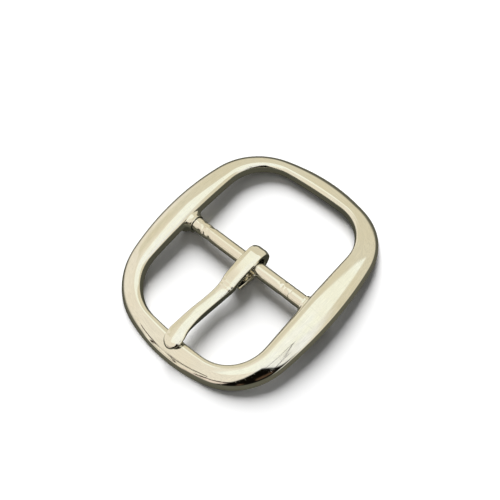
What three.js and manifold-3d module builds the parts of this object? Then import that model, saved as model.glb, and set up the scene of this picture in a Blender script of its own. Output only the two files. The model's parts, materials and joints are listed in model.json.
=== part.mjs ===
// A centre-bar belt buckle for a 35 mm strap: a cast frame, a round bar set in two lugs, and a prong bent
// round the bar. Millimetres. +X runs along the bar, +Y along the belt away from the prong's tip, and +Z up
// from the table it lies on.
import * as THREE from "three";
import { mergeVertices } from "three/addons/utils/BufferGeometryUtils.js";
import Module from "manifold-3d";

const ROUND_SEGMENTS = 32; // round the bar, the lugs and their sockets

// The frame's plan: a rounded rectangle of eight arcs outside and eight inside.
const OUTER = { halfWidth: 27.5, halfLength: 32.5, sideRadius: 92, endRadius: 46.5, cornerRadius: 18 };
const INNER = { halfWidth: 19.2, halfLength: 26.3, sideRadius: 1300, endRadius: 152, cornerRadius: 11.05 };
const PLAN_STEPS = { side: 5, corner: 9, end: 5 }; // along each arc of a quarter
// The frame's section, between its outer and inner foot.
const OUTER_WALL = { inset: 0.69, height: 1.28, swell: [0.2, 0.75] };
const INNER_WALL = { inset: 0.36, height: 2.05 };
// The dome's rise over the straight line between the two walls, of its width; where its crest is, from
// outside; and the power it falls away by on each side of the crest.
const DOME = { rise: 0.2, crest: 0.58, outerFall: 2, innerFall: 2.6 };
const DOME_STEPS = 9;
// The arch along the belt: the side rails stand clear of the table, and the end bars lie on flat lands.
const ARCH_RISE = 3.3;
const LAND_DEPTH = 0.28;
const LAND_SHARES = [0, 0.2, 0.45, 0.75, 1]; // where the underside has an edge, of the rail's width

const BAR = { radius: 1.9, y: -0.75, z: 3.25, chamfer: 0.3, crimpAt: 13, crimpLength: 3.4, crimpDepth: 0.16 };
// A lug's outline at distances from the buckle's middle: its half width along the belt, and its reach over
// and under the bar's axis. The left lug stands out from the rail with a bead round its face; the right one
// is cut back to the rail.
const LUG_ROOT = [
  { x: 19.6, halfWidth: 3.1, up: 2.05, down: 2.6 },
  { x: 20.4, halfWidth: 3.4, up: 1.95, down: 2.65 },
  { x: 21.8, halfWidth: 3.2, up: 1.9, down: 2.6 },
  { x: 22.6, halfWidth: 2.4, up: 1.5, down: 2 },
];
const LEFT_LUG = [
  { x: 17.6, halfWidth: 2.1, up: 2.08, down: 2.15 },
  { x: 17.8, halfWidth: 2.3, up: 2.24, down: 2.38 },
  { x: 18.2, halfWidth: 2.15, up: 2.08, down: 2.28 },
  { x: 19.1, halfWidth: 2.6, up: 2.06, down: 2.5 },
  ...LUG_ROOT,
];
const RIGHT_LUG = [
  { x: 18.6, halfWidth: 2.1, up: 2.08, down: 2.15 },
  { x: 18.9, halfWidth: 2.2, up: 2.08, down: 2.35 },
  { x: 19.2, halfWidth: 2.45, up: 2.06, down: 2.5 },
  ...LUG_ROOT,
];
const SOCKET = { clearance: 0.12, topX: 16.6, bottomX: 21, endGap: 0.3 };

// The prong: a strip bent round the bar, its tail tucked under the shank and its tip laid over the end bar.
// The bevels along its upper and lower edges, and the most they may take of its half width and thickness.
const PRONG_BEVEL = { width: 1, drop: 0.36 };
const UNDER_BEVEL = { width: 0.3, drop: 0.3 };
const MOST_BEVEL = 0.6;
// The strip's middle round the eye: under the bar, up the thick back and over. How far it is from the bar's
// axis along the belt, its height, and the strip's thickness there.
const EYE_PATH = [
  { y: 0.3, z: 0.66, thickness: 1.1 },
  { y: 1.6, z: 0.7, thickness: 1.15 },
  { y: 2.8, z: 1.15, thickness: 1.4 },
  { y: 3.6, z: 2.05, thickness: 1.8 },
  { y: 3.95, z: 3.25, thickness: 2.1 },
  { y: 3.65, z: 4.45, thickness: 2.1 },
  { y: 2.9, z: 5.4, thickness: 1.75 },
];
const EYE_STEPS = 24;
const TAIL = { endY: -7.6, endZ: 2.5, thickness: 0.7, steps: 5 };
// Along the shank, from above the bar to the start of the tip: how far it is from the bar's axis along the
// belt, the height of its middle, its thickness, its half width, where its middle is along the bar, and how
// far its section is from a bevelled strip (0) towards an oval (1).
const SHANK = [
  { y: 1.8, z: 6, thickness: 1.4, halfWidth: 2.2, x: 1.62, roundness: 0 },
  { y: 0, z: 6, thickness: 1.4, halfWidth: 2.2, x: 1.62, roundness: 0 },
  { y: -2, z: 5.88, thickness: 1.45, halfWidth: 2.15, x: 1.55, roundness: 0 },
  { y: -4, z: 5.5, thickness: 1.75, halfWidth: 2.12, x: 1.5, roundness: 0 },
  { y: -6.5, z: 4.86, thickness: 2.15, halfWidth: 2.09, x: 1.43, roundness: 0 },
  { y: -8.2, z: 4.3, thickness: 2.6, halfWidth: 1.96, x: 1.58, roundness: 0 },
  { y: -9.2, z: 3.95, thickness: 2.85, halfWidth: 1.84, x: 1.52, roundness: 0.05 },
  { y: -11, z: 3.65, thickness: 3, halfWidth: 1.7, x: 1.3, roundness: 0.08 },
  { y: -14, z: 3.55, thickness: 3.1, halfWidth: 1.6, x: 1, roundness: 0.1 },
  { y: -19, z: 3.95, thickness: 2.9, halfWidth: 1.71, x: 0.57, roundness: 0.1 },
  { y: -23, z: 4.47, thickness: 2.2, halfWidth: 2, x: 0.54, roundness: 0.4 },
  { y: -25.5, z: 4.5, thickness: 2, halfWidth: 2.45, x: 0.76, roundness: 0.7 },
  { y: -27, z: 4.52, thickness: 1.75, halfWidth: 2.35, x: 0.95, roundness: 0.9 },
];
// The tip is closed like the end of an egg: how far it reaches and drops, the powers its drop and its
// thinning follow, and the share of its width left at the very end.
const TIP = { length: 2.5, drop: 1, steps: 7, dropPower: 1.5, thinPower: 0.8, end: 0.1 };
const SHANK_STEPS = 44;

const NICKEL = { color: 0xe0d8c0, metalness: 1 };

const wasm = await Module();
wasm.setup();

/** One quadrant of a rounded rectangle, from the middle of its side to the middle of its end. */
function quadrant({ halfWidth, halfLength, sideRadius, endRadius, cornerRadius }, steps) {
  const side = new THREE.Vector2(halfWidth - sideRadius, 0);
  const end = new THREE.Vector2(0, halfLength - endRadius);
  // The corner's centre is as far from each of the other two centres as their radii differ.
  const toSide = sideRadius - cornerRadius;
  const toEnd = endRadius - cornerRadius;
  const span = side.distanceTo(end);
  const along = (toSide ** 2 - toEnd ** 2 + span ** 2) / (2 * span);
  const across = Math.sqrt(toSide ** 2 - along ** 2);
  const unit = end.clone().sub(side).divideScalar(span);
  const corner = side
    .clone()
    .addScaledVector(unit, along)
    .add(new THREE.Vector2(-unit.y, unit.x).multiplyScalar(across));
  const sideEnd = Math.atan2(corner.y - side.y, corner.x - side.x);
  const cornerEnd = Math.atan2(corner.y - end.y, corner.x - end.x);
  const arcs = [
    [side, sideRadius, 0, sideEnd, steps.side],
    [corner, cornerRadius, sideEnd, cornerEnd, steps.corner],
    [end, endRadius, cornerEnd, Math.PI / 2, steps.end],
  ];
  const points = [];
  for (const [centre, radius, from, to, count] of arcs) {
    for (let i = 0; i < count; i++) {
      const angle = from + ((to - from) * i) / count;
      points.push(new THREE.Vector2(Math.cos(angle), Math.sin(angle)).multiplyScalar(radius).add(centre));
    }
  }
  return [...points, new THREE.Vector2(0, halfLength)];
}

/** The whole outline, anticlockwise, from its quadrant. */
function outline(plan) {
  const first = quadrant(plan, PLAN_STEPS);
  const half = [...first, ...first.slice(0, -1).reverse().map((p) => new THREE.Vector2(-p.x, p.y))];
  return [...half, ...half.slice(1, -1).reverse().map((p) => new THREE.Vector2(p.x, -p.y))];
}

/** The arch's height over the table at a place along the belt. */
function arch(y) {
  return ARCH_RISE - (ARCH_RISE + LAND_DEPTH) * (y / OUTER.halfLength) ** 2;
}

/** The frame's section as [place from the outer foot, height over the arch], for a rail of this width. */
function railSection(width) {
  const start = OUTER_WALL.inset;
  const dome = width - start - INNER_WALL.inset;
  const inside = (t) => (t - DOME.crest) / (1 - DOME.crest);
  const points = [OUTER_WALL.swell];
  for (let i = 0; i <= DOME_STEPS; i++) {
    const t = i / DOME_STEPS;
    const chord = THREE.MathUtils.lerp(OUTER_WALL.height, INNER_WALL.height, t);
    const fall = t < DOME.crest ? (1 - t / DOME.crest) ** DOME.outerFall : inside(t) ** DOME.innerFall;
    points.push([start + dome * t, chord + DOME.rise * dome * (1 - fall)]);
  }
  return points;
}

/** A closed geometry from rings of equal length, each joined to the next, its ends closed or joined. */
function loft(rings, closed) {
  const size = rings[0].length;
  const position = rings.flat().flatMap((p) => [p.x, p.y, p.z]);
  const index = [];
  const spans = closed ? rings.length : rings.length - 1;
  for (let i = 0; i < spans; i++) {
    const a = i * size;
    const b = ((i + 1) % rings.length) * size;
    for (let j = 0; j < size; j++) {
      const k = (j + 1) % size;
      index.push(a + j, a + k, b + k, a + j, b + k, b + j);
    }
  }
  if (!closed) {
    const last = (rings.length - 1) * size;
    for (let j = 1; j < size - 1; j++) {
      index.push(0, j + 1, j);
      index.push(last, last + j, last + j + 1);
    }
  }
  const geometry = new THREE.BufferGeometry();
  geometry.setAttribute("position", new THREE.Float32BufferAttribute(position, 3));
  geometry.setIndex(index);
  return geometry;
}

function toSolid(geometry) {
  const bare = geometry.clone();
  bare.deleteAttribute("normal");
  bare.deleteAttribute("uv");
  const merged = mergeVertices(bare, 1e-4);
  return new wasm.Manifold(
    new wasm.Mesh({
      numProp: 3,
      vertProperties: new Float32Array(merged.attributes.position.array),
      triVerts: new Uint32Array(merged.index.array),
    }),
  );
}

function toGeometry(solid) {
  const mesh = solid.getMesh();
  const geometry = new THREE.BufferGeometry();
  geometry.setAttribute("position", new THREE.BufferAttribute(mesh.vertProperties.slice(), 3));
  geometry.setIndex(new THREE.BufferAttribute(mesh.triVerts.slice(), 1));
  geometry.computeVertexNormals();
  return geometry;
}

/** A solid turned about the bar's axis, from [x, radius] pairs that start and end on the axis. */
function turnedOnBar(profile) {
  const points = profile.map(([x, radius]) => new THREE.Vector2(radius, x));
  const lathe = new THREE.LatheGeometry(points, ROUND_SEGMENTS);
  lathe.rotateZ(-Math.PI / 2);
  lathe.translate(0, BAR.y, BAR.z);
  return lathe;
}

/** The cast loop: its section carried round between the two outlines, standing on the arch. */
function rails() {
  const outer = outline(OUTER);
  const inner = outline(INNER);
  const rings = outer.map((foot, i) => {
    const across = inner[i].clone().sub(foot);
    const width = across.length();
    const at = (place, height) => {
      const p = foot.clone().addScaledVector(across, place / width);
      return new THREE.Vector3(p.x, p.y, arch(p.y) + height);
    };
    const onTable = (place) => {
      const p = at(place, 0);
      return new THREE.Vector3(p.x, p.y, Math.max(p.z, 0));
    };
    const top = railSection(width).map(([place, height]) => at(place, height));
    const underside = LAND_SHARES.map((share) => onTable(width * share));
    return [...underside, ...top.reverse()];
  });
  return loft(rings, true);
}

/** A lug, solid where its socket will be: rings round the bar's end that spread into the right rail. */
function lug(stations) {
  const rings = stations.map(({ x, halfWidth, up, down }) => {
    const ring = [];
    for (let i = 0; i < ROUND_SEGMENTS; i++) {
      const angle = (2 * Math.PI * i) / ROUND_SEGMENTS;
      const reach = Math.sin(angle) > 0 ? up : down;
      ring.push(new THREE.Vector3(x, BAR.y + halfWidth * Math.cos(angle), BAR.z + reach * Math.sin(angle)));
    }
    return ring;
  });
  return toSolid(loft(rings, false));
}

/** The blind hole for the bar's end in the right lug. */
function socket() {
  const radius = BAR.radius + SOCKET.clearance;
  const profile = [
    [SOCKET.topX, 0],
    [SOCKET.topX, radius],
    [SOCKET.bottomX, radius],
    [SOCKET.bottomX, 0],
  ];
  return toSolid(turnedOnBar(profile));
}

/** The same solid on the buckle's other side. */
function mirrored(solid) {
  return solid.mirror([1, 0, 0]);
}

function frameGeometry() {
  const cast = toSolid(rails()).add(lug(RIGHT_LUG)).add(mirrored(lug(LEFT_LUG)));
  return toGeometry(cast.subtract(socket()).subtract(mirrored(socket())));
}

/** The rod, nipped in at two places where it was crimped. */
function barGeometry() {
  const end = SOCKET.bottomX - SOCKET.endGap;
  const nip = (at) => [
    [at - BAR.crimpLength / 2, BAR.radius],
    [at - BAR.crimpLength / 4, BAR.radius - BAR.crimpDepth],
    [at + BAR.crimpLength / 4, BAR.radius - BAR.crimpDepth],
    [at + BAR.crimpLength / 2, BAR.radius],
  ];
  const profile = [
    [-end, 0],
    [-end, BAR.radius - BAR.chamfer],
    [-end + BAR.chamfer, BAR.radius],
    ...nip(-BAR.crimpAt),
    ...nip(BAR.crimpAt),
    [end - BAR.chamfer, BAR.radius],
    [end, BAR.radius - BAR.chamfer],
    [end, 0],
  ];
  return turnedOnBar(profile);
}

/** Stations on a smooth curve through the shank's rows. */
function alongShank() {
  const curve = (key) => new THREE.CatmullRomCurve3(SHANK.map((s) => new THREE.Vector3(s[key], s.y, s.z)));
  const curves = ["thickness", "halfWidth", "x", "roundness"].map((key) => [key, curve(key)]);
  const stations = [];
  for (let i = 1; i <= SHANK_STEPS; i++) {
    const t = i / SHANK_STEPS;
    const { y, z } = curves[0][1].getPoint(t);
    const rest = Object.fromEntries(curves.map(([key, c]) => [key, c.getPoint(t).x]));
    stations.push({ ...rest, y: y + BAR.y, z });
  }
  return stations;
}

/** The prong's stations from the tail's end, round the eye and along the shank to the tip. */
function prongStations() {
  const start = SHANK[0];
  const [bottom] = EYE_PATH;
  const stations = [];
  for (let i = 0; i < TAIL.steps; i++) {
    const left = 1 - i / TAIL.steps;
    stations.push({
      ...start,
      y: THREE.MathUtils.lerp(BAR.y + bottom.y, TAIL.endY, left),
      z: THREE.MathUtils.lerp(bottom.z, TAIL.endZ, left ** 2),
      thickness: THREE.MathUtils.lerp(bottom.thickness, TAIL.thickness, left ** 2),
    });
  }
  const eye = [...EYE_PATH, start].map((s) => new THREE.Vector3(s.thickness, s.y, s.z));
  const round = new THREE.CatmullRomCurve3(eye);
  for (let i = 0; i <= EYE_STEPS; i++) {
    const { x: thickness, y, z } = round.getPoint(i / EYE_STEPS);
    stations.push({ ...start, y: y + BAR.y, z, thickness });
  }
  stations.push(...alongShank());
  const end = stations.at(-1);
  for (let i = 1; i <= TIP.steps; i++) {
    const turn = (Math.PI * i) / (2 * TIP.steps);
    const taper = Math.max(Math.cos(turn), TIP.end);
    stations.push({
      ...end,
      y: end.y - TIP.length * Math.sin(turn),
      z: end.z - TIP.drop * Math.sin(turn) ** TIP.dropPower,
      thickness: end.thickness * taper ** TIP.thinPower,
      halfWidth: end.halfWidth * taper,
    });
  }
  return stations;
}

/** The strip's section: [across, up] pairs from the middle of its right side, anticlockwise. */
function stripSection({ halfWidth, thickness, roundness }) {
  const top = thickness / 2;
  const half = ({ width, drop }) => {
    const flat = [
      [halfWidth, 0],
      [halfWidth, top - Math.min(drop, MOST_BEVEL * top)],
      [halfWidth - Math.min(width, MOST_BEVEL * halfWidth), top],
    ];
    const right = flat.map(([x, up], i) => {
      const angle = (Math.PI / 2) * (i / flat.length);
      return [
        THREE.MathUtils.lerp(x, halfWidth * Math.cos(angle), roundness),
        THREE.MathUtils.lerp(up, top * Math.sin(angle), roundness),
      ];
    });
    return [...right, [0, top], ...right.slice(1).reverse().map(([x, up]) => [-x, up])];
  };
  return [...half(PRONG_BEVEL), ...half(UNDER_BEVEL).map(([x, up]) => [-x, -up])];
}

/** The strip's section at each station, square to its path. */
function prongGeometry() {
  const stations = prongStations();
  const rings = stations.map((station, i) => {
    const before = stations[Math.max(i - 1, 0)];
    const after = stations[Math.min(i + 1, stations.length - 1)];
    const along = new THREE.Vector2(after.y - before.y, after.z - before.z).normalize();
    return stripSection(station).map(
      ([x, up]) => new THREE.Vector3(station.x + x, station.y + along.y * up, station.z - along.x * up),
    );
  });
  return loft(rings, false);
}

function nickelPiece(name, geometry, roughness) {
  const mesh = new THREE.Mesh(geometry, new THREE.MeshStandardMaterial({ ...NICKEL, roughness }));
  mesh.name = name;
  return mesh;
}

const group = new THREE.Group();
group.add(nickelPiece("frame", frameGeometry(), 0.12));
group.add(nickelPiece("bar", barGeometry(), 0.18));
group.add(nickelPiece("prong", prongGeometry(), 0.14));

export default group;
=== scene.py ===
"""A nickel-plated centre-bar belt buckle on a pale studio floor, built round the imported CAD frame."""
import json
from math import cos, pi, radians, sin, sqrt

import bpy
import numpy as np
from mathutils import Matrix, Vector


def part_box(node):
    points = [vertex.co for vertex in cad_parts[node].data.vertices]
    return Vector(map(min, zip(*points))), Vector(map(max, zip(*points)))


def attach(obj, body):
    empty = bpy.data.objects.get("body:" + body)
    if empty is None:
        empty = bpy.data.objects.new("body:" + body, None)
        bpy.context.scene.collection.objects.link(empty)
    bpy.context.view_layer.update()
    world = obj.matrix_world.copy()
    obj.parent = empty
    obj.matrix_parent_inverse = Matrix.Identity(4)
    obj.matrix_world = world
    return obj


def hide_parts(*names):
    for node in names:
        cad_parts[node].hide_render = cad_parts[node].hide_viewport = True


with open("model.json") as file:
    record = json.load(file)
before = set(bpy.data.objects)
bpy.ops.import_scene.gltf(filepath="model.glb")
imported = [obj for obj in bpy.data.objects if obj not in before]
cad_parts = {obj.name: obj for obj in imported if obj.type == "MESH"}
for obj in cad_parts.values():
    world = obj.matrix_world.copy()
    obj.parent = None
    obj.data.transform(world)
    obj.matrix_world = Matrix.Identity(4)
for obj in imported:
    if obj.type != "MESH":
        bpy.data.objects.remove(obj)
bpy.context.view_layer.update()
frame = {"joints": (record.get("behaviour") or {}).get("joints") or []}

MM = 0.001


def box_mm(node):
    low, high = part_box(node)
    return np.array(low) / MM, np.array(high) / MM


# ---------------------------------------------------------------- sizes, in millimetres
FRAME_HIGH = box_mm("frame")[1]
BAR_LOW, BAR_HIGH = box_mm("bar")
PIVOT = np.array(frame["joints"][0]["pos_m"]) / MM
BAR_Y, BAR_Z = PIVOT[1], PIVOT[2]
BAR_RADIUS = (BAR_HIGH[2] - BAR_LOW[2]) / 2
BAR_END = BAR_HIGH[0]

# The loop's plan: eight arcs outside and eight inside.
HALF_LENGTH = FRAME_HIGH[1]
OUTER = dict(half_width=FRAME_HIGH[0], half_length=HALF_LENGTH, side=92.0, end=46.5, corner=18.0)
INNER = dict(half_width=19.2, half_length=26.3, side=1300.0, end=152.0, corner=11.05)
PLAN_STEPS = dict(side=22, corner=30, end=22)
PLAN_SOFTEN = 2

# The loop's section, between its outer and inner foot.
OUTER_WALL_INSET, OUTER_WALL_HEIGHT = 0.69, 1.28
INNER_WALL_INSET, INNER_WALL_HEIGHT = 0.36, 2.05
# The dome's rise over the straight line between the two walls, of its width; where its crest is, from
# outside; and the power it falls away by on each side of the crest.
DOME_RISE, CREST, OUTER_FALL, INNER_FALL = 0.2, 0.58, 2, 2.6
# How far each corner of the section is eased, and the points round a corner, over the dome, down the inner
# wall and under the rail.
SHOULDER_SOFTNESS, EDGE_SOFTNESS, FOOT_SOFTNESS = 0.3, 0.2, 0.18
CORNER_STEPS, DOME_STEPS, WALL_STEPS, UNDER_STEPS = 5, 22, 6, 9
ARCH_RISE, LAND_DEPTH = 3.3, 0.28

# A lug's half outline, as (along the belt, up) from the bar's axis: a narrow crown, and steep sides that
# spread downward.
LUG_OUTLINE = [
    (0, 2.24), (0.7, 2.2), (1.22, 1.94), (1.66, 1.38), (2.0, 0.7), (2.18, 0),
    (2.2, -1), (2.1, -1.8), (1.7, -2.35), (0.8, -2.5), (0, -2.52),
]
# The lugs, as (distance from the middle, and that outline's growth along the belt, upward and downward). The
# left one stands out from the rail, with a bead round its face; the right one is cut back to the rail.
LUG_ROOT = [
    (19.6, 1.1, -0.04, 0.1),
    (20.4, 1.4, -0.15, 0.15),
    (21.8, 1.2, -0.2, 0.1),
    (22.4, 0.8, -0.3, -0.1),
    (22.6, 0.1, -0.6, -0.4),
]
LEFT_LUG = [
    (17.6, -0.06, -0.14, -0.2),
    (17.64, 0.08, 0.0, -0.06),
    (17.78, 0.16, 0.05, 0.0),
    (17.95, 0.08, 0.0, -0.05),
    (18.15, 0.0, -0.1, -0.12),
    (18.6, 0.08, -0.14, -0.05),
    (19.1, 0.5, -0.1, 0.0),
    *LUG_ROOT,
]
RIGHT_LUG = [
    (18.6, -0.04, -0.18, -0.2),
    (18.66, 0.05, -0.13, -0.06),
    (18.9, 0.1, -0.13, 0.0),
    (19.2, 0.2, -0.13, 0.0),
    *LUG_ROOT,
]
# How far below a lug's crown its flanks have reached their full growth.
FLANK_DEPTH = 0.9
SOCKET_CLEARANCE, SOCKET_END_GAP = 0.07, 0.3
SOCKET_RADIUS = BAR_RADIUS + SOCKET_CLEARANCE
SOCKET_BOTTOM = BAR_END + SOCKET_END_GAP
# The socket's mouth is opened out a little round the bar. It is straight for the depth of its lip, and the
# solid that cuts it starts clear of the lug's face.
MOUTH_FLARE, MOUTH_DEPTH, MOUTH_LIP, CUTTER_LEAD = 0.14, 0.4, 0.05, 1

# The bar: how far its ends are eased, and a ring turned in it between the right crimp and the lug.
BAR_EASE = 0.35
RING_AT, RING_HALF_LENGTH, RING_DEPTH = 15.0, 0.14, 0.1
# Its crimp dents as (x, angle, half length, half angle, depth), the angles in degrees from the rear, upward.
DENTS = [
    (-16.2, 60, 0.5, 26, 0.1), (-15.2, 40, 0.5, 22, 0.14), (-14.6, 75, 0.45, 20, 0.18),
    (-13.4, 50, 0.5, 22, 0.16), (-12.6, 30, 0.5, 24, 0.2), (-15.4, 150, 0.7, 26, 0.16),
    (-13.9, 140, 0.5, 22, 0.2), (-12.9, 120, 0.4, 18, 0.18), (-12.0, 150, 0.5, 20, 0.16),
    (-14.4, 110, 0.35, 16, 0.12), (-13.2, 280, 1.2, 50, 0.12), (-12.2, 195, 0.6, 24, 0.16),
    (11.5, 75, 0.35, 20, 0.13), (12.4, 100, 0.35, 16, 0.15), (13.2, 65, 0.4, 20, 0.15),
    (12.3, 45, 0.4, 18, 0.1), (13.4, 115, 0.3, 16, 0.12), (13.1, 200, 0.8, 30, 0.12),
    (12.9, 320, 0.8, 40, 0.1),
]

# The prong. The strip's middle round the eye, as (y from the bar, height, thickness): under the bar, up the
# thick back and over.
EYE_PATH = [
    (0.3, 0.66, 1.1),
    (1.6, 0.7, 1.15),
    (2.8, 1.15, 1.4),
    (3.6, 2.05, 1.8),
    (3.95, 3.25, 2.1),
    (3.65, 4.45, 2.1),
    (2.9, 5.4, 1.75),
]
TAIL_END_Y, TAIL_END_Z, TAIL_THICKNESS = -7.6, 2.5, 0.7
# The bevels along the strip's upper and lower edges, as (width, drop), and the most they may take of its half
# width and thickness.
PRONG_BEVEL, UNDER_BEVEL, MOST_BEVEL = (1.0, 0.36), (0.3, 0.3), 0.6
# Along the shank: (y from the bar, height of its middle, thickness, half width, its middle's x, roundness)
SHANK = [
    (1.8, 6.0, 1.4, 2.2, 1.62, 0.0),
    (0.0, 6.0, 1.4, 2.2, 1.62, 0.0),
    (-2.0, 5.88, 1.45, 2.15, 1.55, 0.0),
    (-4.0, 5.5, 1.75, 2.12, 1.5, 0.0),
    (-6.5, 4.86, 2.15, 2.09, 1.43, 0.0),
    (-8.2, 4.3, 2.6, 1.96, 1.58, 0.0),
    (-9.2, 3.95, 2.85, 1.84, 1.52, 0.05),
    (-11.0, 3.65, 3.0, 1.7, 1.3, 0.08),
    (-14.0, 3.55, 3.1, 1.6, 1.0, 0.1),
    (-19.0, 3.95, 2.9, 1.71, 0.57, 0.1),
    (-23.0, 4.47, 2.2, 2.0, 0.54, 0.4),
    (-25.5, 4.5, 2.0, 2.45, 0.76, 0.7),
    (-27.0, 4.52, 1.75, 2.35, 0.95, 0.9),
]
# The tip is closed like the end of an egg: how far it reaches and drops, the powers its drop and its thinning
# follow, and the share of its width left at the very end.
TIP_LENGTH, TIP_DROP, TIP_DROP_POWER, TIP_THIN_POWER, TIP_END = 2.5, 1.0, 1.5, 0.8, 0.02
# How far the oval's halves lean towards a ridge along the middle.
RIDGE_SHARE = 0.4
# Two low ridges across the shank, as (y from the bar, height, half length).
RIDGES = [(-7.9, 0.09, 0.25), (-8.9, 0.09, 0.25)]

# How finely the curves are cut: points between two rows of a curve, and points or rings on each piece.
SPLINE_STEPS = 40
LUG_OUTLINE_POINTS, LUG_RINGS, CUTTER_SEGMENTS = 37, 60, 64
BAR_RINGS, BAR_SEGMENTS = 420, 72
TAIL_ROWS, EYE_RINGS, SHANK_RINGS, TIP_RINGS = 7, 110, 260, 25
# Up the strip's side, over its bevel, and along half its top.
STRIP_STEPS = (3, 4, 5)
# The angle, in degrees, from which an edge is sharp: as a rule, on the loop and on the prong.
SHARP_ANGLE, LOOP_SHARP_ANGLE, PRONG_SHARP_ANGLE = 40, 35, 60


# ---------------------------------------------------------------- mesh helpers
def mesh_object(name, points, faces, material, sharp_angle=SHARP_ANGLE):
    """A smooth-shaded object from points in millimetres."""
    mesh = bpy.data.meshes.new(name)
    mesh.from_pydata((np.asarray(points) * MM).tolist(), [], faces)
    mesh.validate()
    mesh.update()
    made = bpy.data.objects.new(name, mesh)
    bpy.context.scene.collection.objects.link(made)
    made.data.materials.append(material)
    mesh.polygons.foreach_set("use_smooth", [True] * len(mesh.polygons))
    mesh.set_sharp_from_angle(angle=radians(sharp_angle))
    return made


def grid_faces(rows, columns, wrap_rows, wrap_columns):
    """Quads over a grid of points stored row by row."""
    faces = []
    for i in range(rows if wrap_rows else rows - 1):
        for j in range(columns if wrap_columns else columns - 1):
            a, b = i * columns, ((i + 1) % rows) * columns
            k = (j + 1) % columns
            faces.append((a + j, a + k, b + k, b + j))
    return faces


def capped_faces(rows, columns):
    """Quads between closed rings, with a face at each end."""
    faces = grid_faces(rows, columns, False, True)
    faces.append(tuple(range(columns))[::-1])
    last = (rows - 1) * columns
    faces.append(tuple(last + j for j in range(columns)))
    return faces


def through(stations, count):
    """Rows on a Catmull-Rom curve through the stations, evenly spaced in the first two columns."""
    rows = np.asarray(stations, float)
    padded = np.vstack([2 * rows[0] - rows[1], rows, 2 * rows[-1] - rows[-2]])
    fine = []
    for i in range(len(rows) - 1):
        a, b, c, d = padded[i : i + 4]
        t = np.linspace(0, 1, SPLINE_STEPS, endpoint=False)[:, None]
        square, cube = 2 * a - 5 * b + 4 * c - d, 3 * b - a - 3 * c + d
        fine.append(0.5 * (2 * b + (c - a) * t + square * t**2 + cube * t**3))
    fine = np.vstack([*fine, rows[-1:]])
    run = np.r_[0, np.cumsum(np.linalg.norm(np.diff(fine[:, :2], axis=0), axis=1))]
    places = np.linspace(0, run[-1], count)
    return np.column_stack([np.interp(places, run, column) for column in fine.T])


def boolean(target, other, operation):
    """Joins or cuts target by other, which is then removed."""
    modifier = target.modifiers.new(operation, "BOOLEAN")
    modifier.operation = operation
    modifier.solver = "EXACT"
    modifier.object = other
    depsgraph = bpy.context.evaluated_depsgraph_get()
    result = bpy.data.meshes.new_from_object(target.evaluated_get(depsgraph))
    target.modifiers.clear()
    target.data = result
    bpy.data.objects.remove(other)


# ---------------------------------------------------------------- the cast loop
def quadrant(half_width, half_length, side, end, corner):
    """From the middle of a side to just before the middle of an end."""
    side_centre = np.array([half_width - side, 0.0])
    end_centre = np.array([0.0, half_length - end])
    to_side, to_end = side - corner, end - corner
    span = np.linalg.norm(end_centre - side_centre)
    unit = (end_centre - side_centre) / span
    along = (to_side**2 - to_end**2 + span**2) / (2 * span)
    across = sqrt(to_side**2 - along**2)
    centre = side_centre + unit * along + np.array([-unit[1], unit[0]]) * across
    turn = np.arctan2(*(centre - side_centre)[::-1])
    turn_end = np.arctan2(*(centre - end_centre)[::-1])
    arcs = [
        (side_centre, side, 0, turn, PLAN_STEPS["side"]),
        (centre, corner, turn, turn_end, PLAN_STEPS["corner"]),
        (end_centre, end, turn_end, pi / 2, PLAN_STEPS["end"]),
    ]
    points = []
    for middle, radius, start, stop, count in arcs:
        angle = np.linspace(start, stop, count, endpoint=False)
        points.append(middle + radius * np.column_stack([np.cos(angle), np.sin(angle)]))
    return np.vstack([*points, [[0.0, half_length]]])


def outline(plan):
    """The whole closed outline, anticlockwise, with the joins between its arcs eased."""
    first = quadrant(**plan)
    half = np.vstack([first, first[-2::-1] * [-1, 1]])
    whole = np.vstack([half, half[-2:0:-1] * [1, -1]])
    for _ in range(PLAN_SOFTEN):
        whole = (np.roll(whole, 1, 0) + 2 * whole + np.roll(whole, -1, 0)) / 4
    return whole


def arch(y):
    return ARCH_RISE - (ARCH_RISE + LAND_DEPTH) * (y / HALF_LENGTH) ** 2


def eased_corner(before, corner, after, reach):
    """A short curve that takes the place of a corner."""
    into = corner + (before - corner) / np.linalg.norm(before - corner) * reach
    out = corner + (after - corner) / np.linalg.norm(after - corner) * reach
    t = np.linspace(0, 1, CORNER_STEPS)[:, None]
    return into * (1 - t) ** 2 + 2 * corner * t * (1 - t) + out * t**2


def loop_section(width):
    """The rail's closed section as (place from the outer foot, height), starting under the outer foot."""
    outer_foot, inner_foot = np.array([0.0, 0.0]), np.array([width, 0.0])
    shoulder = np.array([OUTER_WALL_INSET, OUTER_WALL_HEIGHT])
    edge = np.array([width - INNER_WALL_INSET, INNER_WALL_HEIGHT])
    dome_width = edge[0] - shoulder[0]

    def dome(t):
        chord = shoulder[1] + (edge[1] - shoulder[1]) * t
        outside = np.abs(t / CREST - 1) ** OUTER_FALL
        inside = np.abs((t - CREST) / (1 - CREST)) ** INNER_FALL
        rise = DOME_RISE * dome_width * (1 - np.where(t < CREST, outside, inside))
        return np.column_stack([shoulder[0] + dome_width * t, chord + rise])

    start, stop = SHOULDER_SOFTNESS / dome_width, 1 - EDGE_SOFTNESS / dome_width
    top = dome(np.linspace(start, stop, DOME_STEPS))
    wall = np.linspace(edge, inner_foot, WALL_STEPS)[1:-1]
    under = np.linspace(inner_foot, outer_foot, UNDER_STEPS)[1:-1]
    return np.vstack([
        eased_corner(inner_foot, outer_foot, shoulder, FOOT_SOFTNESS),
        eased_corner(outer_foot, shoulder, top[0], SHOULDER_SOFTNESS)[:-1],
        top,
        eased_corner(top[-1], edge, inner_foot, EDGE_SOFTNESS)[1:],
        wall,
        eased_corner(edge, inner_foot, outer_foot, FOOT_SOFTNESS),
        under,
    ])


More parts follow.
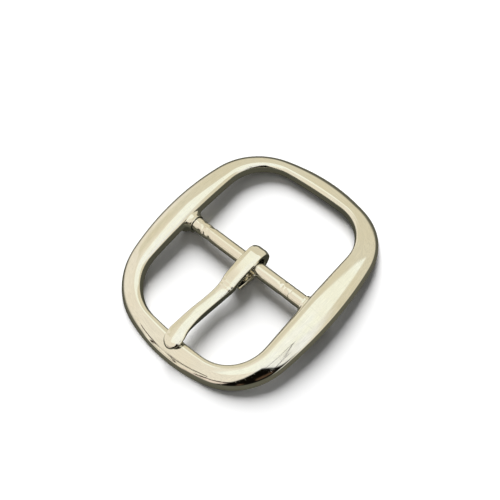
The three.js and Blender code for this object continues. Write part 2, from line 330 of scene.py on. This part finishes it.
def make_loop(material):
    outer, inner = outline(OUTER), outline(INNER)
    rings = []
    for foot, other in zip(outer, inner):
        across = other - foot
        width = np.linalg.norm(across)
        place = loop_section(width)
        plan = foot + np.outer(place[:, 0] / width, across)
        height = arch(plan[:, 1]) + place[:, 1]
        rings.append(np.column_stack([plan, np.maximum(height, place[:, 1])]))
    columns = len(rings[0])
    faces = [face[::-1] for face in grid_faces(len(rings), columns, True, True)]
    return mesh_object("buckle_loop", np.vstack(rings), faces, material)


def make_lug(side, stations, material):
    half = through(LUG_OUTLINE, LUG_OUTLINE_POINTS)
    outline_y = np.r_[half[:, 0], -half[-2:0:-1, 0]]
    outline_z = np.r_[half[:, 1], half[-2:0:-1, 1]]
    crown, keel = LUG_OUTLINE[0][1], -LUG_OUTLINE[-1][1]
    points = []
    spread = np.clip((crown - outline_z) / FLANK_DEPTH, 0, 1)
    # The 0 keeps the growth columns out of the distance that the rings are spaced by.
    for x, _, along, up, down in through([(x, 0, *growth) for x, *growth in stations], LUG_RINGS):
        reach = np.where(outline_z > 0, 1 + up / crown, 1 + down / keel)
        points.append(np.column_stack([
            np.full_like(outline_y, side * x),
            BAR_Y + outline_y + np.sign(outline_y) * along * spread,
            BAR_Z + outline_z * reach,
        ]))
    faces = capped_faces(len(points), len(outline_y))
    if side > 0:
        faces = [face[::-1] for face in faces]
    return mesh_object("lug", np.vstack(points), faces, material)


def socket_cutter(profile, material):
    """A solid turned about the bar's axis, from (x, radius) pairs, both ends closed."""
    angle = np.linspace(0, 2 * pi, CUTTER_SEGMENTS, endpoint=False)
    points = []
    for x, radius in profile:
        points.append(np.column_stack([
            np.full_like(angle, x), BAR_Y + radius * np.cos(angle), BAR_Z + radius * np.sin(angle)
        ]))
    return mesh_object("socket", np.vstack(points), capped_faces(len(profile), len(angle)), material)


def make_frame(material):
    loop = make_loop(material)
    lugs = ((-1, LEFT_LUG), (1, RIGHT_LUG))
    for side, stations in lugs:
        boolean(loop, make_lug(side, stations, material), "UNION")
    for side, stations in lugs:
        face = stations[0][0]
        mouth = SOCKET_RADIUS + MOUTH_FLARE
        profile = [
            (face - CUTTER_LEAD, mouth),
            (face + MOUTH_LIP, mouth),
            (face + MOUTH_DEPTH, SOCKET_RADIUS),
            (SOCKET_BOTTOM, SOCKET_RADIUS),
        ]
        profile = sorted((side * x, radius) for x, radius in profile)
        boolean(loop, socket_cutter(profile, material), "DIFFERENCE")
    loop.data.set_sharp_from_angle(angle=radians(LOOP_SHARP_ANGLE))
    return loop


# ---------------------------------------------------------------- the bar
def make_bar(material):
    """A rod with its ends eased and a hand-crimped place near each lug."""
    x = np.linspace(-BAR_END, BAR_END, BAR_RINGS)
    angle = np.linspace(0, 2 * pi, BAR_SEGMENTS, endpoint=False)
    X, A = np.meshgrid(x, angle, indexing="ij")
    radius = np.full_like(X, BAR_RADIUS)
    radius -= BAR_EASE * np.clip((np.abs(X) - (BAR_END - BAR_EASE)) / BAR_EASE, 0, 1) ** 2
    for at, where, half_length, half_angle, depth in DENTS:
        turn = np.degrees(np.angle(np.exp(1j * (A - radians(where)))))
        radius -= depth * np.exp(-(((X - at) / half_length) ** 2) - (turn / half_angle) ** 2)
    radius -= RING_DEPTH * np.exp(-(((X - RING_AT) / RING_HALF_LENGTH) ** 2))
    points = np.column_stack([
        X.ravel(), (BAR_Y + radius * np.cos(A)).ravel(), (BAR_Z + radius * np.sin(A)).ravel()
    ])
    return mesh_object("crossbar", points, capped_faces(len(x), len(angle)), material)


# ---------------------------------------------------------------- the prong
def prong_stations():
    """Rows of (y, z, thickness, half width, x, roundness) from the tail's end round the eye to the tip."""
    half_width, middle, roundness = SHANK[0][3:]
    bottom_y, bottom_z, bottom_thickness = EYE_PATH[0]
    rows = []
    for left in np.linspace(1, 0, TAIL_ROWS, endpoint=False):
        rows.append((
            BAR_Y + bottom_y + (TAIL_END_Y - BAR_Y - bottom_y) * left,
            bottom_z + (TAIL_END_Z - bottom_z) * left**2,
            bottom_thickness + (TAIL_THICKNESS - bottom_thickness) * left**2,
            half_width,
            middle,
            roundness,
        ))
    rows += [(BAR_Y + y, z, thickness, half_width, middle, roundness) for y, z, thickness in EYE_PATH]
    shank = [(BAR_Y + y, *rest) for y, *rest in SHANK]
    body = np.vstack([through(rows + shank[:1], EYE_RINGS)[:-1], through(shank, SHANK_RINGS)])
    ridged = body[EYE_RINGS:]
    for y, height, half_length in RIDGES:
        ridge = height * np.exp(-(((ridged[:, 0] - BAR_Y - y) / half_length) ** 2))
        ridged[:, 1] += ridge / 2
        ridged[:, 2] += ridge
    end_y, end_z, thickness, half_width, middle, roundness = shank[-1]
    turn = np.linspace(0, pi / 2, TIP_RINGS + 1)[1:]
    taper = np.maximum(np.cos(turn), TIP_END)
    tip = np.column_stack([
        end_y - TIP_LENGTH * np.sin(turn),
        end_z - TIP_DROP * np.sin(turn) ** TIP_DROP_POWER,
        thickness * taper**TIP_THIN_POWER,
        half_width * taper,
        np.full_like(turn, middle),
        np.full_like(turn, roundness),
    ])
    return np.vstack([body, tip])


def strip_section(half_width, thickness, roundness):
    """A bevelled strip blended towards an oval: (across, up) pairs, anticlockwise."""
    top = thickness / 2

    def half(bevel):
        inset = min(bevel[0], MOST_BEVEL * half_width)
        drop = min(bevel[1], MOST_BEVEL * top)
        corners = np.array([(half_width, 0), (half_width, top - drop), (half_width - inset, top), (0, top)])
        quarter = np.vstack([
            np.linspace(a, b, n, endpoint=False) for a, b, n in zip(corners, corners[1:], STRIP_STEPS)
        ])
        angle = np.linspace(0, pi / 2, len(quarter), endpoint=False)
        ridged = top * ((1 - RIDGE_SHARE) * np.sin(angle) + RIDGE_SHARE * (1 - np.cos(angle)))
        oval = np.column_stack([half_width * np.cos(angle), ridged])
        quarter = quarter * (1 - roundness) + oval * roundness
        return np.vstack([quarter, [[0, top]], quarter[:0:-1] * [-1, 1]])

    ring = np.vstack([half(PRONG_BEVEL), -half(UNDER_BEVEL)])
    return (np.roll(ring, 1, 0) + 4 * ring + np.roll(ring, -1, 0)) / 6


def make_prong(material):
    rows = prong_stations()
    path = rows[:, :2]
    along = np.gradient(path, axis=0)
    along /= np.linalg.norm(along, axis=1)[:, None]
    rings = []
    for (y, z, thickness, half_width, middle, roundness), (run_y, run_z) in zip(rows, along):
        across, up = strip_section(half_width, thickness, roundness).T
        rings.append(np.column_stack([middle + across, y + run_z * up, z - run_y * up]))
    faces = [face[::-1] for face in capped_faces(len(rings), len(rings[0]))]
    return mesh_object("tongue", np.vstack(rings), faces, material, PRONG_SHARP_ANGLE)


# ---------------------------------------------------------------- materials
class Tree:
    """Adds nodes to a tree and wires plain numbers, colours or sockets into them."""

    def __init__(self, tree):
        self.nodes, self.links = tree.nodes, tree.links

    def feed(self, socket, value):
        if isinstance(value, bpy.types.NodeSocket):
            self.links.new(value, socket)
        else:
            socket.default_value = value

    def add(self, kind, inputs, output=0, **settings):
        node = self.nodes.new(kind)
        for name, value in settings.items():
            setattr(node, name, value)
        for name, value in inputs.items():
            self.feed(node.inputs[name], value)
        return node.outputs[output]

    def math(self, operation, a, b=0.0):
        return self.add("ShaderNodeMath", {0: a, 1: b}, operation=operation)

    def dot(self, vector, fixed):
        inputs = {0: vector, 1: tuple(fixed)}
        return self.add("ShaderNodeVectorMath", inputs, "Value", operation="DOT_PRODUCT")

    def ease(self, value, low, high, start=0.0, stop=1.0):
        """A smooth step of value from start to stop between low and high."""
        inputs = {"Value": value, "From Min": low, "From Max": high, "To Min": start, "To Max": stop}
        return self.add("ShaderNodeMapRange", inputs, interpolation_type="SMOOTHSTEP")

    def mix(self, factor, a, b):
        node = self.nodes.new("ShaderNodeMix")
        node.data_type = "RGBA"
        self.feed(node.inputs[0], factor)
        self.feed(node.inputs[6], a if isinstance(a, bpy.types.NodeSocket) else (*a, 1))
        self.feed(node.inputs[7], b if isinstance(b, bpy.types.NodeSocket) else (*b, 1))
        return node.outputs[2]


# The plate's noises: faint patches of colour, fine grain, and the swell left by the polisher's wheel.
PATCHES = {"Scale": 95.0, "Detail": 3.0, "Roughness": 0.55}
GRAIN = {"Scale": 2600.0, "Detail": 2.0, "Roughness": 0.6}
SWELL = {"Scale": 210.0, "Detail": 1.0, "Roughness": 0.4}
# Handling scratches: the noise they come from and its stretch along them, the two ways they run, and how far
# the pattern is moved by the seed and for the second way.
SCRATCHES = {"Scale": 1.0, "Detail": 2.0, "Distortion": 0.4}
SCRATCH_STRETCH, SCRATCH_TURNS = (70, 5200, 900), ((0.1, 0.2, 0.5), (0, 0.3, 2.1))
SCRATCH_MOVE, SECOND_SEED = (1, 0.7, 0.3), 3
# Where each mask starts and where it is full: in a noise, in the pointiness of worn edges, and in open air,
# which sets the painted shade in crevices.
PATCH_BAND, DULL_BAND, GRAIN_BAND, SCRATCH_BAND = (0.35, 0.68), (0.3, 0.75), (0.3, 0.75), (0.66, 0.72)
WORN_EDGE_BAND, WORN_GRAIN_BAND, CREVICE_SHADE_BAND = (0.53, 0.62), (0.35, 0.65), (0.15, 0.6)
# What each mask makes of the metal's colour, and the most of that which shows; the last is painted shade,
# dark where little open air reaches into crevices.
PATCH_TINT = (0.985, 0.965, 0.915)
GRAIN_TINT, GRAIN_SHARE = 0.93, 0.3
SCRATCH_TINT, SCRATCH_SHARE = 0.82, 0.25
WORN_TINT, WORN_SHARE = (1.0, 0.95, 0.85), 0.3
CREVICE_SHADE_COLOUR, CREVICE_SHADE_SHARE, CREVICE_SHADE_REACH = (0.05, 0.042, 0.032), 0.8, 1.6 * MM
# The roughness that each adds, and the relief, in millimetres.
PATCH_DULLNESS, SCRATCH_DULLNESS, WORN_DULLNESS = 0.07, 0.16, 0.1
GRAIN_RELIEF, SCRATCH_RELIEF = 0.00055, 0.0004


def hairlines(tree, place, turn, seed):
    """A mask of fine handling scratches that run one way: 1 on a scratch."""
    turned = tree.add("ShaderNodeMapping", {
        "Vector": place,
        "Location": tuple(seed * move for move in SCRATCH_MOVE),
        "Rotation": turn,
        "Scale": SCRATCH_STRETCH,
    })
    streak = tree.add("ShaderNodeTexNoise", {"Vector": turned, **SCRATCHES})
    return tree.ease(streak, *SCRATCH_BAND)


def nickel(name, colour, roughness, ripple, seed):
    """Polished nickel plate: faintly yellow patches, grain, hairline scratches, a polisher's ripple, and
    painted shade in its crevices.
    """
    made = bpy.data.materials.new(name)
    made.use_nodes = True
    tree = Tree(made.node_tree)
    shader = tree.nodes["Principled BSDF"]
    shader.inputs["Metallic"].default_value = 1.0
    place = tree.add("ShaderNodeTexCoord", {}, "Object")
    shifted = tree.add("ShaderNodeVectorMath", {0: place, 1: (seed, seed, seed)}, "Vector", operation="ADD")
    patches = tree.add("ShaderNodeTexNoise", {"Vector": shifted, **PATCHES})
    grain = tree.add("ShaderNodeTexNoise", {"Vector": shifted, **GRAIN})
    swell = tree.add("ShaderNodeTexNoise", {"Vector": shifted, **SWELL})
    bent = tree.add("ShaderNodeNewGeometry", {}, "Pointiness")

    one_way, other_way = SCRATCH_TURNS
    lines = tree.math(
        "MAXIMUM",
        hairlines(tree, place, one_way, seed),
        hairlines(tree, place, other_way, seed + SECOND_SEED),
    )
    rubbed = tree.math("MULTIPLY", tree.ease(bent, *WORN_EDGE_BAND), tree.ease(grain, *WORN_GRAIN_BAND))

    def tinted(by):
        return tuple(np.array(colour) * by)

    tint = tree.mix(tree.ease(patches, *PATCH_BAND), colour, tinted(PATCH_TINT))
    tint = tree.mix(tree.ease(grain, *GRAIN_BAND, 0.0, GRAIN_SHARE), tint, tinted(GRAIN_TINT))
    tint = tree.mix(tree.math("MULTIPLY", lines, SCRATCH_SHARE), tint, tinted(SCRATCH_TINT))
    tint = tree.mix(tree.math("MULTIPLY", rubbed, WORN_SHARE), tint, tinted(WORN_TINT))
    # Painted shade: the colour darkens in crevices and hollows, where little open air reaches.
    open_air = tree.add("ShaderNodeAmbientOcclusion", {"Distance": CREVICE_SHADE_REACH}, "AO", samples=8)
    tint = tree.mix(tree.ease(open_air, *CREVICE_SHADE_BAND, CREVICE_SHADE_SHARE, 0.0), tint, CREVICE_SHADE_COLOUR)
    tree.feed(shader.inputs["Base Color"], tint)

    dull = tree.ease(patches, *DULL_BAND, roughness, roughness + PATCH_DULLNESS)
    dull = tree.math("ADD", dull, tree.math("MULTIPLY", lines, SCRATCH_DULLNESS))
    dull = tree.math("ADD", dull, tree.math("MULTIPLY", rubbed, WORN_DULLNESS))
    tree.feed(shader.inputs["Roughness"], dull)

    relief = tree.math("MULTIPLY", swell, ripple)
    relief = tree.math("ADD", relief, tree.math("MULTIPLY", grain, GRAIN_RELIEF))
    relief = tree.math("SUBTRACT", relief, tree.math("MULTIPLY", lines, SCRATCH_RELIEF))
    bump = tree.add("ShaderNodeBump", {"Strength": 1.0, "Distance": MM, "Height": relief}, "Normal")
    tree.feed(shader.inputs["Normal"], bump)
    return made


# ---------------------------------------------------------------- the stage
CAMERA_AZIMUTH, CAMERA_ELEVATION, CAMERA_ROLL = radians(53.06), radians(60.34), radians(-12.79)
CAMERA_DISTANCE, CAMERA_LENS = 162.9, 46.07
CAMERA_TARGET = np.array([-1.243, 2.066, ARCH_RISE])
SENSOR_WIDTH, NEAR_CLIP = 36, 0.01 # millimetres, metres
FLOOR_HALF, FLOOR_COLOUR, FLOOR_ROUGHNESS = 1.5, (0.92, 0.92, 0.92, 1), 0.9 # the half width in metres


def make_camera():
    back = np.array([
        sin(CAMERA_AZIMUTH) * cos(CAMERA_ELEVATION),
        -cos(CAMERA_AZIMUTH) * cos(CAMERA_ELEVATION),
        sin(CAMERA_ELEVATION),
    ])
    level = np.array([cos(CAMERA_AZIMUTH), sin(CAMERA_AZIMUTH), 0])
    upright = np.cross(back, level)
    right = cos(CAMERA_ROLL) * level + sin(CAMERA_ROLL) * upright
    up = -sin(CAMERA_ROLL) * level + cos(CAMERA_ROLL) * upright
    data = bpy.data.cameras.new("camera")
    data.lens = CAMERA_LENS
    data.sensor_width = SENSOR_WIDTH
    data.clip_start = NEAR_CLIP
    camera = bpy.data.objects.new("camera", data)
    place = (CAMERA_TARGET + back * CAMERA_DISTANCE) * MM
    columns = np.column_stack([right, up, back, place])
    camera.matrix_world = Matrix([*columns.tolist(), [0, 0, 0, 1]])
    bpy.context.scene.collection.objects.link(camera)
    bpy.context.scene.camera = camera


def make_floor():
    corners = np.array([(-1, -1, 0), (1, -1, 0), (1, 1, 0), (-1, 1, 0)]) * FLOOR_HALF / MM
    pale = bpy.data.materials.new("pale_floor")
    pale.use_nodes = True
    shader = pale.node_tree.nodes["Principled BSDF"]
    shader.inputs["Base Color"].default_value = FLOOR_COLOUR
    shader.inputs["Roughness"].default_value = FLOOR_ROUGHNESS
    floor = mesh_object("floor", corners, [(0, 1, 2, 3)], pale)
    floor.visible_glossy = False


# What the metal mirrors, in degrees from straight up: rightward and away, seen along the camera's heading.
CREAM, TAN, PANEL = (0.99, 0.915, 0.75), (0.83, 0.765, 0.57), (1.12, 1.13, 0.97)
OLIVE, UNDER = (0.125, 0.122, 0.09), (0.045, 0.045, 0.033)
GLOW, NEAR_SIDE = (1.12, 1.13, 1.03), (1.05, 1.05, 0.98)
PINK, COPPER, BROWN, BLACK = (0.93, 0.8, 0.67), (0.1, 0.06, 0.035), (0.05, 0.03, 0.02), (0.004, 0.003, 0.002)
# Cards as (rightward, away, half width, half height, turn, edge, colour); the later ones hang in front.
CARDS = [
    (62, 45, 62, 80, 0, 40, TAN),
    (12, -6, 33, 31, -26, 6, PANEL),
    (6, -6, 14, 14, -26, 16, GLOW),
    (14, -52, 26, 26, 0, 16, NEAR_SIDE),
    (-75, -44, 8, 42, 31, 4, PINK),
    (-72, -22, 1.4, 15.5, 21, 1, BROWN),
    (-55, -48, 1.4, 17, 45, 1, BROWN),
    (8, -29.5, 0.6, 11, -54, 0.6, BROWN),
    (19.5, -30.5, 0.6, 8, 18, 0.6, BROWN),
    (18, -47.5, 0.8, 10, -23, 0.8, BROWN),
    (-14, -74, 36, 25, 16, 4, BLACK),
    (3, -61, 9, 4, 18, 4, COPPER),
    (-30, -68, 5, 3, 18, 3, COPPER),
]
# How far the cards' edges wander and how much their brightness is mottled, the noises that do it, where the
# mottle starts and is full, and the cosine over which a card fades out towards the dome's far half.
CARD_WANDER, WANDER_NOISE = 0.09, {"Scale": 5.0, "Detail": 4.0, "Roughness": 0.6}
CARD_MOTTLE, MOTTLE_NOISE, MOTTLE_BAND = 0.16, {"Scale": 26.0, "Detail": 3.0, "Roughness": 0.6}, (0.35, 0.65)
CARD_FADE = 0.05
# Where the ground begins, in degrees from the top of a dome that leans a little away from the camera, and the
# angles between which it goes from OLIVE to UNDER.
HORIZON = dict(rightward=0, away=8, at=92, edge=6)
GROUND_NEAR, GROUND_DEEP = 118, 150
# What rays that aren't mirrored get: all but the camera's, and the camera's.
AMBIENT, BACKDROP = 0.15, (1.0, 1.0, 1.0)
KEY_FROM, KEY_STRENGTH, KEY_SPREAD = (-0.4, 0.37, 0.36), 6.7, radians(44)


def sky_direction(rightward, away):
    """The unit vector for a place on the dome, given in degrees from straight up."""
    fall = radians(np.hypot(rightward, away))
    level = np.array([cos(CAMERA_AZIMUTH), sin(CAMERA_AZIMUTH), 0])
    ahead = np.array([-sin(CAMERA_AZIMUTH), cos(CAMERA_AZIMUTH), 0])
    flat = rightward * level + away * ahead
    return flat / max(np.linalg.norm(flat), 1e-9) * sin(fall) + np.array([0, 0, cos(fall)])


def make_world():
    world = bpy.data.worlds.new("studio")
    bpy.context.scene.world = world
    world.use_nodes = True
    tree = Tree(world.node_tree)
    straight = tree.add("ShaderNodeTexCoord", {}, "Generated")
    cloud = tree.add("ShaderNodeTexNoise", {"Vector": straight, **WANDER_NOISE}, "Color")
    cloud = tree.add("ShaderNodeVectorMath", {0: cloud, 1: (0.5, 0.5, 0.5)}, operation="SUBTRACT")
    cloud = tree.add("ShaderNodeVectorMath", {0: cloud, 3: CARD_WANDER}, operation="SCALE")
    way = tree.add("ShaderNodeVectorMath", {0: straight, 1: cloud}, operation="ADD")
    way = tree.add("ShaderNodeVectorMath", {0: way}, operation="NORMALIZE")
    colour = CREAM
    for rightward, away, half_width, half_height, turn, edge, tint in CARDS:
        middle = sky_direction(rightward, away)
        level = np.cross([sin(CAMERA_AZIMUTH), -cos(CAMERA_AZIMUTH), 0], middle)
        level /= -np.linalg.norm(level)
        upward = np.cross(middle, level)
        across = cos(radians(turn)) * level + sin(radians(turn)) * upward
        along = np.cross(middle, across)
        shade = tree.ease(tree.dot(way, middle), 0.0, CARD_FADE)
        for axis, half in ((across, half_width), (along, half_height)):
            place = tree.math("ABSOLUTE", tree.dot(way, axis))
            inner = sin(radians(max(half - edge / 2, 0)))
            outer = sin(radians(min(half + edge / 2, 90)))
            shade = tree.math("MULTIPLY", shade, tree.ease(place, inner, outer, 1.0, 0.0))
        colour = tree.mix(shade, colour, tint)
    mottle = tree.add("ShaderNodeTexNoise", {"Vector": straight, **MOTTLE_NOISE})
    dim = tree.ease(mottle, *MOTTLE_BAND, 1 - CARD_MOTTLE, 1.0)
    colour = tree.add("ShaderNodeVectorMath", {0: colour, 3: dim}, operation="SCALE")
    lean = tree.dot(straight, sky_direction(HORIZON["rightward"], HORIZON["away"]))
    low = cos(radians(HORIZON["at"] + HORIZON["edge"]))
    high = cos(radians(HORIZON["at"] - HORIZON["edge"]))
    depth = tree.ease(lean, cos(radians(GROUND_DEEP)), cos(radians(GROUND_NEAR)))
    ground = tree.mix(depth, UNDER, OLIVE)
    colour = tree.mix(tree.ease(lean, low, high), ground, colour)
    path = tree.nodes.new("ShaderNodeLightPath")
    plain = tree.mix(path.outputs["Is Camera Ray"], (AMBIENT,) * 3, BACKDROP)
    colour = tree.mix(path.outputs["Is Glossy Ray"], plain, colour)
    tree.feed(tree.nodes["Background"].inputs["Color"], colour)


def make_key():
    """A broad even light from beyond the buckle's left; the metal mirrors the cards instead of it."""
    data = bpy.data.lights.new("key", "SUN")
    data.energy = KEY_STRENGTH
    data.angle = KEY_SPREAD
    key = bpy.data.objects.new("key", data)
    key.rotation_euler = (-Vector(KEY_FROM)).to_track_quat("-Z", "Y").to_euler()
    key.visible_glossy = False
    bpy.context.scene.collection.objects.link(key)


make_camera()
make_floor()
make_world()
make_key()
bpy.context.scene.view_settings.view_transform = "Standard"

frame_nickel = nickel("nickel_frame", colour=(0.88, 0.87, 0.83), roughness=0.045, ripple=0.009, seed=1.0)
frame_piece = make_frame(frame_nickel)
bar_nickel = nickel("nickel_bar", colour=(0.88, 0.86, 0.82), roughness=0.08, ripple=0.012, seed=4.0)
bar_piece = make_bar(bar_nickel)
prong_nickel = nickel("nickel_prong", colour=(0.88, 0.87, 0.83), roughness=0.05, ripple=0.012, seed=7.0)
prong_piece = make_prong(prong_nickel)

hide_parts("frame")
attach(frame_piece, "buckle_frame")
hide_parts("bar")
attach(bar_piece, "buckle_frame")
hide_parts("prong")
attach(prong_piece, "prong")
